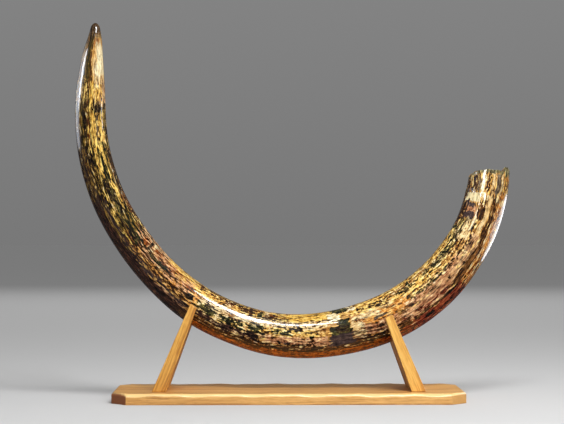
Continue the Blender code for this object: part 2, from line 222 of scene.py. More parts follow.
def arc_lengths(samples=4000):
    heading = np.linspace(FIRST_HEADING, LAST_HEADING, samples)
    steps = np.linalg.norm(np.diff(centreline(heading), axis=0), axis=-1)
    return heading, np.concatenate([[0], np.cumsum(steps)])


HEADINGS, LENGTHS = arc_lengths()
TUSK_LENGTH = LENGTHS[-1]
DEGREES_PER_METRE = (LAST_HEADING - FIRST_HEADING) / TUSK_LENGTH
ROOT_DIRECTION = section_axes(np.array([FIRST_HEADING]))[0][0]


def heading_at(distance):
    return np.interp(distance, LENGTHS, HEADINGS)


def waves(place, length):
    turn = np.radians(place)
    height = np.zeros(np.broadcast(turn, length).shape)
    for count, rise, phase, twist in FLUTE_WAVES:
        height = height + rise * np.sin(count * turn + phase + twist * length)
    for wavelength, rise, phase in SWELL_WAVES:
        height = height + rise * np.sin(2 * math.pi * length / wavelength + phase + turn)
    return np.clip(height, -RELIEF_LIMIT, RELIEF_LIMIT)


def groove_depth(place, heading):
    depth = 0
    for centre, deepest, half_width, first, last, wander in GROOVES:
        middle = centre + wander * np.sin(np.radians((heading - first) * GROOVE_WANDER_RATE))
        across = np.exp(-((angle_between(place, middle) / half_width) ** 2))
        begins = smooth_step((heading - first) / GROOVE_RUN_OUT)
        ends = smooth_step((last - heading) / GROOVE_RUN_OUT)
        depth = depth + deepest * across * begins * ends
    return depth


def flake_depth(place, heading):
    """The depth of the flaked patches: a ledge at the first heading, and run out elsewhere."""
    depth = 0
    ragged = sum(size * np.sin(np.radians(place) * count) for count, size in FLAKE_RAGGED)
    for first, last, side_a, side_b, deepest in FLAKES:
        ledge = smooth_step((heading - first - ragged) / (LEDGE_LENGTH * DEGREES_PER_METRE))
        tail = smooth_step((last - heading) / (FLAKE_TAIL * (last - first)))
        middle, half = (side_a + side_b) / 2, (side_b - side_a) / 2
        inside = half - np.abs(angle_between(place, middle))
        depth = depth + deepest * ledge * tail * smooth_step(inside / FLAKE_SIDE_FADE)
    return depth


def tusk_width(heading, length_left):
    width = natural_spline(STATION_HEADINGS, STATION_WIDTH, heading)
    share = np.clip(1 - length_left / TIP_ROUNDING, 0, 1)
    return width * np.sqrt(1 - share**2)


def sections(distance, half_width, place, relief=0):
    """Points of the cross-sections at the given lengths: an array of rings by places by xyz."""
    heading = heading_at(distance)
    _, outward, front = section_axes(heading)
    turn = np.radians(place)[None, :, None]
    wide = (half_width[:, None] + relief)[:, :, None]
    thick = (half_width[:, None] * TUSK_FLATNESS + relief)[:, :, None]
    middle = centreline(heading)[:, None, :]
    across = outward[:, None, :] * np.cos(turn) * wide
    return middle + across + front[:, None, :] * np.sin(turn) * thick


def rim_rise(place, knob_share=1):
    """How far the broken rim stands above its level plane, round the root."""
    chip = smooth_step(1 - np.abs(angle_between(place, 180)) / RIM_CHIP_HALF_ANGLE)
    from_knob = np.abs(angle_between(place, RIM_KNOB_PLACE))
    nick = smooth_step(RIM_NICK_STEEPNESS * (1 - from_knob / RIM_NICK_HALF_ANGLE))
    knob = np.exp(-((from_knob / RIM_KNOB_HALF_ANGLE) ** RIM_KNOB_STEEPNESS))
    rise = knob_share * RIM_KNOB_HEIGHT * knob - RIM_CHIP_DEPTH * chip - RIM_NICK_DEPTH * nick
    for count, height, phase in RIM_WAVES:
        rise = rise + height * np.sin(count * np.radians(place) + phase)
    return rise


def level_rim(points, distance, place, rim_points, knob_share=1):
    """Slides points along the tusk so that the ring at the root lies on the broken rim."""
    slide = (RIM_HEIGHT + rim_rise(place, knob_share) - rim_points[:, 2]) / ROOT_DIRECTION[2]
    fade = np.clip(1 - distance / RIM_REACH, 0, 1)
    return points + ROOT_DIRECTION * (fade[:, None] * slide)[:, :, None]


def outer_lengths():
    root = np.arange(0, RIM_REACH, RIM_RING_STEP)
    plain = np.linspace(RIM_REACH, TUSK_LENGTH - TIP_ROUNDING, RINGS)
    turn = np.linspace(0, math.pi / 2, TIP_RINGS + 2)[1:-1]
    tip = TUSK_LENGTH - TIP_ROUNDING * (1 - np.sin(turn))
    return np.concatenate([root, plain, tip])


# --- The marks that colour the tusk ---
# Three colours of each kind, from its flecks and crevices to its islands
KIND_COLOURS = {
    "olive": ((18, 16, 8), (54, 46, 22), (170, 130, 56)),
    "moss": ((26, 24, 12), (82, 68, 36), (158, 130, 74)),
    "tan": ((80, 46, 26), (190, 140, 94), (232, 196, 146)),
    "gold": ((92, 52, 14), (210, 152, 62), (255, 226, 134)),
    "amber": ((92, 42, 10), (198, 120, 44), (250, 198, 108)),
    "pink": ((72, 34, 20), (162, 104, 68), (230, 180, 130)),
    "cream": ((108, 70, 36), (214, 174, 112), (248, 230, 180)),
    "rust": ((34, 14, 4), (126, 60, 16), (214, 124, 44)),
    "red": ((30, 8, 5), (116, 42, 26), (190, 98, 56)),
    "brown": ((22, 12, 7), (66, 38, 18), (152, 100, 50)),
    "purple": ((12, 8, 9), (46, 31, 29), (112, 72, 54)),
    "green": ((9, 12, 6), (33, 36, 19), (118, 106, 54)),
    "dark": ((10, 7, 6), (28, 21, 15), (92, 66, 38)),
    "honey": ((130, 84, 24), (210, 160, 66), (255, 222, 124)),
    "ivory": ((160, 122, 72), (236, 214, 162), (252, 246, 214)),
    "grey": ((44, 36, 28), (94, 78, 60), (152, 134, 110)),
    "slate": ((17, 14, 16), (64, 50, 49), (116, 92, 80)),
    "lip": ((36, 32, 20), (112, 102, 66), (190, 180, 134)),
}
# Each mark: kind, first and last heading, lowest and highest place around, coverage in percent
# (100 is solid, 50 leaves about half of it), and for some how many degrees around they climb.
MARKS = (
    # the root, from its rim to the pale band across it
    ("brown", 15, 33, 154, 205, 86), ("rust", 15, 22.6, 128, 150, 50), ("brown", 16, 22.5, 124, 146, 74),
    # the ivory stripe at places 106 to 116 is a real pale stripe with a painted highlight over it
    ("grey", 18.5, 22.8, 117, 125, 95), ("ivory", 14, 22.8, 106, 116, 90), ("gold", 15, 22.6, 88, 93, 80),
    ("brown", 17, 22.6, 93, 105, 56), ("cream", 14, 34, 79, 90, 80), ("grey", 15.8, 22.6, 63, 75, 100),
    ("cream", 15, 22.5, 50, 58, 60), ("grey", 15.5, 22, 58, 64, 62), ("amber", 15, 18.5, 22, 40, 95),
    ("gold", 15, 24, 28, 46, 56), ("brown", 17, 24, 26, 44, 42), ("rust", 15.5, 17, 28, 44, 75),
    # the right arm
    ("brown", 24.8, 29.5, 90, 108, 80), ("slate", 25, 26.8, 122, 150, 88),
    ("slate", 28, 29.9, 114, 146, 92), ("pink", 25, 30, 108, 150, 62), ("cream", 29, 37, 105, 134, 72),
    ("brown", 23.5, 34, 61, 77, 90, -2), ("brown", 33, 47, 60, 73, 105, -2),
    ("dark", 24, 46, 63, 71, 42, -2), ("cream", 25, 44, 52, 60, 50, -2), ("brown", 44, 60, 56, 66, 80, -4),
    ("dark", 47, 60, 54, 61, 74), ("dark", 43, 46, 38, 48, 72), ("amber", 22, 50, 40, 60, 86),
    ("gold", 34, 70, 152, 196, 86), ("green", 32.5, 34, 148, 184, 86), ("green", 35.8, 37.6, 153, 163, 86),
    ("moss", 30, 48, 131, 152, 95, -7), ("green", 35, 47, 135, 147, 56, -4),
    ("moss", 46, 60, 124, 144, 70, -2), ("green", 54.4, 55.6, 136, 158, 84), ("gold", 46, 62, 118, 134, 60),
    ("tan", 34, 60, 74, 97, 115), ("pink", 40, 60, 92, 108, 60), ("brown", 33, 47, 95, 106, 54, 2),
    ("moss", 44, 60, 99, 117, 66), ("pink", 47, 62, 62, 86, 74), ("red", 44, 62, -20, 60, 94),
    ("red", 39, 46, -10, 50, 50), ("brown", 46, 62, 6, 36, 24), ("dark", 44, 61, 29, 37, 56, -4),
    ("red", 48, 62, 58, 76, 52), ("rust", 38, 46, 20, 44, 70), ("dark", 53, 56.4, 37, 47, 76),
    ("dark", 48, 52, 22, 36, 52),
    # over the right upright
    ("rust", 59, 72, 92, 114, 32), ("amber", 57, 73, 92, 120, 105), ("grey", 63.2, 67.8, 101, 109, 84),
    ("cream", 66, 74, 110, 122, 82), ("brown", 62, 73, 124, 150, 52), ("gold", 62, 74, 128, 165, 66),
    ("pink", 62, 74, 68, 96, 86), ("cream", 70, 74, 70, 112, 72), ("brown", 60, 82, 50, 68, 92),
    ("dark", 64.5, 70.5, 42, 60, 84), ("red", 58, 68, 0, 62, 70),
    # the flaked patch with its straight edge, and the dark spot above it
    ("green", 74.6, 78.9, 148, 192, 90), ("ivory", 72.6, 74.4, 146, 190, 70),
    ("ivory", 77.4, 80.2, 126, 150, 80), ("cream", 77.5, 92, 118, 136, 66), ("honey", 79, 92, 132, 176, 80),
    ("rust", 81, 90, 126, 150, 45), ("gold", 77, 130, 132, 200, 110),
    # the bottom
    ("gold", 79, 128, 146, 196, 86), ("cream", 80, 116, 108, 130, 56), ("gold", 83, 98, 92, 120, 72),
    ("brown", 84, 96, 96, 128, 46), ("brown", 81, 89, 127, 147, 48), ("rust", 82, 100, 134, 180, 44),
    ("pink", 80, 96, 66, 90, 80), ("brown", 84, 89, 66, 88, 55), ("green", 84.4, 86.2, 88, 100, 70),
    ("green", 89.5, 95, 94, 108, 66), ("slate", 90.2, 91.5, 67, 76, 95), ("dark", 92.4, 93.4, 64, 80, 75),
    ("brown", 91, 99, 124, 142, 58), ("green", 97, 101, 84, 112, 80), ("green", 98.7, 99.7, 128, 156, 86),
    ("brown", 92.4, 95.4, 150, 196, 60), ("cream", 96.2, 98.6, 126, 190, 72),
    ("brown", 100, 105, 128, 165, 66), ("rust", 98, 120, 134, 185, 52), ("brown", 100, 118, 140, 190, 58),
    ("green", 101, 109, 82, 108, 76), ("tan", 93.6, 98, 70, 92, 78), ("purple", 98, 118, 64, 84, 84, 2),
    ("green", 109, 117, 84, 102, 82, 6), ("cream", 107, 112, 92, 106, 85),
    ("cream", 107, 110.5, 128, 160, 80), ("brown", 76, 118, 44, 66, 86), ("rust", 60, 117.5, -40, 52, 110),
    # the olive ground of the left arm, under its golden islands
    ("olive", 138, 184, -60, 240, 100), ("olive", 128, 146, 120, 240, 62),
    # over the left upright and the lower left
    ("dark", 117.5, 120.5, 92, 116, 80), ("gold", 116, 127, 118, 134, 78), ("rust", 117, 123, 108, 140, 56),
    ("gold", 124, 126.5, 112, 152, 78), ("amber", 116, 141, 76, 124, 78), ("tan", 124, 142, 80, 130, 50),
    ("brown", 118, 146, 70, 122, 66), ("olive", 122, 138, 96, 140, 44), ("rust", 118, 142, 88, 150, 50),
    ("green", 128, 141, 104, 120, 55), ("pink", 119, 129, 57, 67, 66), ("purple", 116.5, 156, -60, 62, 120),
    ("purple", 120, 154, 58, 72, 56, 1), ("slate", 118, 156, 62, 82, 56, 3),
    ("tan", 126, 143, 126, 196, 72), ("pink", 119, 144, 92, 150, 42), ("gold", 141, 154, 140, 196, 30),
    ("brown", 142, 156, 132, 196, 62), ("dark", 137, 146, 105, 111, 92, 1),
    ("dark", 141, 150, 94, 106, 72, 3), ("honey", 140, 156, 82, 93, 52),
    ("green", 140, 162, 96, 122, 74, 3), ("dark", 150, 153.5, 136, 150, 70),
    ("honey", 151, 164, 124, 138, 55), ("green", 140, 153, 122, 150, 56), ("olive", 149, 161, 92, 150, 80),
    ("green", 152, 167, 98, 138, 50), ("dark", 146, 158, 104, 120, 50, 2),
    # the left arm
    ("green", 150, 171, 108, 126, 74), ("honey", 154, 157.5, 84, 96, 60), ("honey", 159, 172, 94, 112, 56),
    ("green", 158, 172, 128, 150, 62), ("brown", 148, 170, 144, 200, 98),
    ("olive", 152, 170, 140, 200, 105), ("green", 165, 176, 152, 190, 66),
    ("honey", 165, 170.5, 118, 134, 62), ("honey", 162, 170.5, 97, 110, 74),
    ("dark", 154, 171, 64, 90, 68, -3), ("purple", 150, 171, 20, 66, 56), ("grey", 153, 170, 40, 72, 36),
    ("rust", 154, 171, 36, 84, 46), ("rust", 153, 170, 146, 200, 44), ("dark", 154, 169, 146, 200, 90),
    ("dark", 150, 160, 96, 136, 60), ("moss", 110, 121, 84, 118, 90), ("brown", 154, 180, -30, 58, 66),
    ("olive", 165, 192, 60, 96, 95), ("honey", 168, 186, 78, 90, 48), ("rust", 168, 186, 78, 88, 55),
    ("dark", 166, 184, 68, 76, 74), ("honey", 171, 190, 93, 109, 74), ("gold", 171, 181, 92, 150, 66),
    ("grey", 172.5, 181, 112, 119, 70, 3), ("honey", 174, 180.4, 118, 152, 62),
    ("dark", 171.5, 175, 156, 190, 76), ("dark", 181.4, 182, 62, 140, 70),
    ("dark", 181.6, 184, 150, 192, 74), ("tan", 182.5, 192, 102, 182, 90),
    ("gold", 182.5, 190, 100, 150, 62), ("brown", 183, 191, 116, 128, 42, 3),
    ("ivory", 190.5, 199.6, 112, 176, 62), ("cream", 188, 200.5, 100, 178, 62),
    ("gold", 188, 204, 96, 132, 50), ("tan", 186, 201, 104, 170, 30), ("olive", 182, 203, 56, 92, 86),
    # the grey at headings 182 to 201, places 0 to 60, is a painted reflection beside the left arm's
    # highlight
    ("gold", 184, 191, 64, 84, 56), ("brown", 187, 201, 84, 93, 80, 4), ("grey", 182, 201, 0, 60, 52),
    ("amber", 198.8, 201.4, 94, 150, 84), ("brown", 200.4, 204.2, 60, 120, 46),
)
# Marks with a crisp, nearly straight outline
CRISP_MARKS = (
    ("lip", 10, 15.9, -180, 180, 120), ("lip", 10, 17, 10, 46, 120), ("ivory", 22.6, 25, 112, 160, 105),
    ("cream", 22.8, 24.4, 20, 118, 66), ("slate", 74.2, 80, 62, 88, 110),
    ("green", 74.1, 79.4, 84, 108, 105), ("green", 74.1, 77.6, 104, 125, 90),
    ("dark", 74.3, 78.4, 88, 112, 66), ("dark", 180.2, 182.5, 106, 133, 98),
    ("cream", 135.2, 136.4, 122, 168, 80, -6), ("dark", 136.4, 137.6, 98, 152, 74),
)
CRISP_WANDER = 0.18
# Where the fine crumbled structure is calm, and where it is drawn out into long lines
STRUCTURE_MARKS = (
    ("drawn", 146, 210, -180, 180, 85), ("drawn", 119, 148, -180, 180, 72), ("calm", 120, 150, 70, 150, 22),
    ("drawn", 10, 24, -180, 180, 75), ("calm", 10, 23, 30, 130, 30), ("drawn", 56, 76, 30, 130, 50),
    ("drawn", 23, 58, 10, 92, 80), ("calm", 24.8, 31, 108, 150, 42), ("calm", 24, 58, 36, 76, 26),
    ("calm", 35, 57, 73, 98, 36), ("calm", 23, 34, 77, 93, 60), ("calm", 22.7, 25.2, 110, 162, 75),
    ("calm", 73, 81, 58, 92, 60), ("calm", 73, 81, 92, 121, 60), ("calm", 42, 118, -60, 52, 25),
    ("calm", 116, 156, -60, 66, 30), ("calm", 76, 128, 134, 200, 25), ("calm", 189, 206, -180, 180, 50),
)
MARK_SOFTNESS = (2.2, 11)  # degrees of heading and of place over which a mark's edge turns
THIN_SOFTNESS = 0.75  # a narrow mark's edge is softened over this share of its half width
# How far the marks' outlines wander: size in degrees of heading and of place, and cells
MARK_WANDER = (((0.8, 3), 0.034, 12, 71), ((0.5, 2.5), 0.013, 30, 81))
LIGHT_KINDS = ("tan", "gold", "amber", "pink", "cream", "honey", "ivory")
GROUND_KINDS = ("olive", "purple", "slate", "red", "rust")  # they hold back the light kinds
GROUND_HOLD = 0.8
BACK_SHIFT = 7  # the unseen side repeats the marks in mirror image, moved by up to this
BACK_COVERAGE = 0.95
BACK_SEED = 31
BACK_EDGE = (84, 12)  # degrees round from the front: where the back begins, and its blend
BASE_COVERAGE = {"brown": 0.18, "green": 0.05, "dark": 0.08, "gold": 0.3, "cream": 0.18,
                 "tan": 0.3, "rust": 0.15, "honey": 0.06}


def mark_field(heading, place, mark, wander):
    """From 0 outside a mark to 1 inside it, passing 0.5 at its edge."""
    _, first, last, low, high, _, climb = (*mark, 0)[:7]
    heading = heading + wander[0]
    place = place + wander[1] - climb * (heading - first) / (last - first)
    middle, half = (low + high) / 2, (high - low) / 2
    edge_heading = min(MARK_SOFTNESS[0], THIN_SOFTNESS * (last - first) / 2)
    edge_place = min(MARK_SOFTNESS[1], THIN_SOFTNESS * half)
    inside_place = (half - np.abs(angle_between(place, middle))) / edge_place
    inside_heading = np.minimum(heading - first, last - heading) / edge_heading
    return np.clip(0.5 + np.minimum(inside_place, inside_heading), 0, 1)


def kind_fields(along, place):
    """For each kind of mark, its coverage at every point of the surface."""
    heading = heading_at(along)
    wander = [0, 0]
    for sizes, cell, cells_round, seed in MARK_WANDER:
        for axis, size in enumerate(sizes):
            noise = lattice_noise(place, along, cell, cells_round, seed + axis)
            wander[axis] = wander[axis] + size * noise
    random = np.random.default_rng(BACK_SEED)
    on_back = smooth_step((np.abs(angle_between(place, 90)) - BACK_EDGE[0]) / BACK_EDGE[1])
    fields = {kind: np.zeros(heading.shape) for kind in (*KIND_COLOURS, "calm", "drawn")}
    for marks, share in ((MARKS + STRUCTURE_MARKS, 1), (CRISP_MARKS, CRISP_WANDER)):
        for mark in marks:
            here = [w * share for w in wander]
            kind, coverage = mark[0], mark[5] / 100
            front = mark_field(heading, place, mark, here)
            shift = random.uniform(-BACK_SHIFT, BACK_SHIFT)
            back = mark_field(heading - shift, 360 - place, mark, here)
            field = coverage * (front * (1 - on_back) + BACK_COVERAGE * back * on_back)
            fields[kind] = np.maximum(fields[kind], field)
    ground = np.maximum.reduce([fields[kind] for kind in GROUND_KINDS])
    for kind, coverage in BASE_COVERAGE.items():
        held = coverage * (1 - GROUND_HOLD * np.clip(ground, 0, 1))
        fields[kind] = np.maximum(fields[kind], held if kind in LIGHT_KINDS else coverage)
    return fields


# --- Meshes ---
@contextlib.contextmanager
def editing(mesh):
    """A BMesh of the mesh, written back to it at the end."""
    bm = bmesh.new()
    bm.from_mesh(mesh)
    yield bm
    bm.to_mesh(mesh)
    bm.free()


def closed_mesh(name, points, faces):
    mesh = bpy.data.meshes.new(name)
    mesh.from_pydata(points.tolist(), [], faces)
    mesh.validate()
    with editing(mesh) as bm:
        bmesh.ops.recalc_face_normals(bm, faces=bm.faces)
    return mesh


def set_attribute(mesh, name, values, kind="FLOAT", domain="POINT"):
    layer = mesh.attributes.new(name, kind, domain)
    key = "vector" if kind == "FLOAT_VECTOR" else "value"
    layer.data.foreach_set(key, np.ascontiguousarray(values, dtype=np.float32).ravel())


def add_object(name, data):
    item = bpy.data.objects.new(name, data)
    bpy.context.scene.collection.objects.link(item)
    return item


def keep_inside(points, node):
    """Nothing leaves the box of the node that the piece stands for."""
    low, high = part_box(node)
    return np.clip(points, np.array(low), np.array(high))


def ring_faces(rings, sides):
    """Quads between neighbouring rings of `sides` points each."""
    j = np.arange(sides)
    k = (j + 1) % sides
    i = np.arange(rings - 1)[:, None] * sides
    return np.stack([i + j, i + k, i + sides + k, i + sides + j], axis=-1).reshape(-1, 4)


def build_tusk():
    place = np.arange(SIDES) * 360 / SIDES
    distance = outer_lengths()
    heading = heading_at(distance)
    half = tusk_width(heading, TUSK_LENGTH - distance) / 2
    shrink = np.clip(half / RELIEF_FADE_HALF_WIDTH, 0, 1)[:, None]
    grid_place, grid_length = np.broadcast_arrays(place[None, :], distance[:, None])
    grid_heading = heading[:, None] + np.zeros_like(grid_place)
    pebbles = sum(
        share * lattice_noise(grid_place, grid_length, *cells) for share, cells in PEBBLE_LAYERS
    )
    relief = shrink * (
        waves(grid_place, grid_length)
        - groove_depth(grid_place, grid_heading)
        - flake_depth(grid_place, grid_heading)
        + PEBBLE_HEIGHT * (pebbles - 1)
    )
    plain_root = sections(np.zeros(1), half[:1], place, np.zeros((1, SIDES)))[0]
    relief_root = sections(distance[:1], half[:1], place, relief[:1])[0]
    outer = level_rim(sections(distance, half, place, relief), distance, place, relief_root)

    # the pulp cavity's wall, from its mouth down
    share = (np.arange(CAVITY_RINGS) / CAVITY_RINGS) ** CAVITY_RING_SPREAD
    deep = CAVITY_DEPTH * share
    mouth = tusk_width(FIRST_HEADING, TUSK_LENGTH) / 2 - RIM_WALL
    inner_half = mouth * (1 - share) ** CAVITY_TAPER
    fibres = lattice_noise(place[None, :], deep[:, None] * FIBRE_STRETCH, *FIBRE_CELLS)
    inner = sections(deep, inner_half, place, FIBRE_HEIGHT * fibres * (1 - share)[:, None])
    inner = level_rim(inner, deep, place, plain_root, RIM_KNOB_INNER_SHARE)
    inner[0] += ROOT_DIRECTION * RIM_LIP_ROUND

    # the broken end of the wall: rings from the outer edge to the inner one
    across = (np.arange(WALL_RINGS) + 0.5) / WALL_RINGS
    wall = outer[0] * (1 - across)[:, None, None] + inner[0] * across[:, None, None]
    jag = lattice_noise(place[None, :], across[:, None] * RAGGED_REACH, *RAGGED_CELLS)
    wall = wall + ROOT_DIRECTION * (RAGGED_HEIGHT * (jag + RAGGED_RISE))[:, :, None]
    outer[0] += ROOT_DIRECTION * RIM_OUTER_RISE

    tip = centreline(np.array([LAST_HEADING]))
    bottom = centreline(heading_at(np.array([CAVITY_DEPTH])))
    shell = np.concatenate([outer[::-1], wall, inner])
    rings = len(shell)
    points = keep_inside(np.concatenate([shell.reshape(-1, 3), tip, bottom]), "tusk")
    count = rings * SIDES
    last = count - SIDES
    pairs = [(j, (j + 1) % SIDES) for j in range(SIDES)]
    fans = [(k, j, count) for j, k in pairs]
    floor = [(last + j, last + k, count + 1) for j, k in pairs]
    mesh = closed_mesh("tusk_ivory", points, ring_faces(rings, SIDES).tolist() + fans + floor)
    mesh.shade_smooth()

    def with_ends(of_rings, tip_value, bottom_value):
        return np.concatenate([np.repeat(of_rings, SIDES), [tip_value, bottom_value]])

    shell_length = np.concatenate([distance[::-1], np.zeros(WALL_RINGS), deep])
    hollow = [
        np.zeros(len(distance)),
        WALL_HOLLOW[0] + WALL_HOLLOW[1] * across,
        CAVITY_HOLLOW[0] + CAVITY_HOLLOW[1] * share,
    ]
    along = with_ends(shell_length, TUSK_LENGTH, CAVITY_DEPTH)
    around = np.concatenate([np.tile(place, rings), [0, 0]])
    turn = np.radians(around)
    straight = np.stack([GIRTH_RADIUS * np.cos(turn), GIRTH_RADIUS * np.sin(turn), along], axis=-1)
    set_attribute(mesh, "straight", straight, "FLOAT_VECTOR")
    set_attribute(mesh, "hollow", with_ends(np.concatenate(hollow), 0, 1))
    into_tip = (along - TUSK_LENGTH + TIP_STAIN) / (TIP_STAIN - TIP_STAIN_FULL)
    set_attribute(mesh, "tip", smooth_step(into_tip))
    for kind, field in kind_fields(along, around).items():
        set_attribute(mesh, kind, field)
    return add_object("tusk_ivory", mesh)


# --- Node building ---
class Nodes:
    """Short names for the shader nodes of a material or of the world."""

    def __init__(self, owner):
        owner.use_nodes = True
        self.owner = owner
        self.tree = owner.node_tree

    def fill(self, node, inputs):
        """Links or sets inputs given by name or number."""
        for key, value in inputs.items():
            if isinstance(value, bpy.types.NodeSocket):
                self.tree.links.new(value, node.inputs[key])
            else:
                node.inputs[key].default_value = value

    def add(self, kind, inputs, output=0, **settings):
        """One of the outputs of a new node."""
        node = self.tree.nodes.new("ShaderNode" + kind)
        for name, value in settings.items():
            setattr(node, name, value)
        self.fill(node, inputs)
        return node.outputs[output]

    def attribute(self, name, output="Fac"):
        return self.add("Attribute", {}, output, attribute_name=name)

    def math(self, operation, *values, clamp=False):
        return self.add("Math", dict(enumerate(values)), operation=operation, use_clamp=clamp)

    def plus(self, a, b):
        return self.math("ADD", a, b)

    def minus(self, a, b):
        return self.math("SUBTRACT", a, b)

    def times(self, a, b):
        return self.math("MULTIPLY", a, b)

    def scaled(self, value, gain, plus, clamp=False):
        return self.math("MULTIPLY_ADD", value, gain, plus, clamp=clamp)

    def contrast(self, noise, gain, middle=0):
        """A noise's departure from its middle, times a gain, round `middle`."""
        return self.scaled(self.minus(noise, 0.5), gain, middle)

    def vector(self, operation, a, b):
        return self.add("VectorMath", {0: a, 1: b}, operation=operation)

    def noise(self, vector, scale, detail=3, roughness=0.55, stretch=None, output="Fac"):
        if stretch:
            vector = self.vector("MULTIPLY", vector, stretch)
        inputs = {"Vector": vector, "Scale": scale, "Detail": detail, "Roughness": roughness}
        return self.add("TexNoise", inputs, output)

    def wander(self, place, reach, *noise):
        """A place moved by a slow noise, by up to half of `reach` each way."""
        shift = self.vector("SUBTRACT", self.noise(place, *noise, output="Color"), (0.5, 0.5, 0.5))
        return self.vector("ADD", place, self.vector("MULTIPLY", shift, reach))

    def smooth(self, value, low, high, at_low=0, at_high=1):
        inputs = {"From Min": low, "From Max": high, "To Min": at_low, "To Max": at_high}
        inputs["Value"] = value
        return self.add("MapRange", inputs, "Result", interpolation_type="SMOOTHSTEP")

    def mix(self, factor, a, b):
        return self.add("Mix", {"Factor": factor, 6: a, 7: b}, 2, data_type="RGBA")

    def ramp(self, value, stops, colours):
        """The colour at a value between stops that have these screen colours."""
        result = self.add("ValToRGB", {"Fac": value}, "Color")
        elements = result.node.color_ramp.elements
        while len(elements) < len(stops):
            elements.new(0.5)
        for element, stop, colour in zip(elements, stops, colours):
            element.position = stop
            element.color = srgb(*colour)
        return result

    def shade(self, inputs, height, bump_distance, bump_strength):
        bump = {"Height": height, "Distance": bump_distance, "Strength": bump_strength}
        normal = self.add("Bump", bump, "Normal")
        self.fill(self.tree.nodes["Principled BSDF"], {**inputs, "Normal": normal})
        return self.owner


def srgb(red, green, blue):
    """A colour given as screen values from 0 to 255."""

    def linear(value):
        value = value / 255
        return value / 12.92 if value <= 0.04045 else ((value + 0.055) / 1.055) ** 2.4

    return (linear(red), linear(green), linear(blue), 1)


# --- Tusk material ---
IVORY_STOPS = (0.02, 0.28, 0.5, 0.72, 0.96)
IVORY_COLOURS = ((46, 26, 12), (118, 70, 28), (184, 130, 62), (226, 180, 106), (252, 230, 168))
# How the pattern is stretched in each direction, the last of them along the tusk
STREAKY = (1, 1, 0.09)
DASHED = (1, 1, 0.24)
FLECKED = (1, 1, 0.6)
RIBBED = (0.22, 0.22, 1)
KIND_STOPS = (0.05, 0.45, 0.95)
KIND_SHIFT, KIND_SHIFT_ACROSS = 3.7, 0.3  # each kind's noise lies elsewhere by this
KIND_EDGE = (0.44, 0.56)
CAVITY_COLOURS = ((70, 50, 34), (150, 116, 74))
CAVITY_EDGE = (0.05, 0.35)
TIP_STOPS = (0.1, 0.5, 0.95)
TIP_COLOURS = ((24, 17, 11), (48, 35, 24), (94, 72, 48))
TIP_STAIN_STRENGTH = 0.95
CRACK_COLOUR = (30, 19, 11)
# Cracks: stretch along the tusk, scale, and the noise's reach that is fully and at all dark
LONG_CRACKS = (0.05, 85, 0.008, 0.035)
SHORT_CRACKS = (0.16, 190, 0.01, 0.05)
IVORY_FINISH = {"IOR": 1.28, "Specular IOR Level": 0.3, "Coat Weight": 0.5, "Coat Roughness": 0.03,
                "Coat IOR": 1.5}


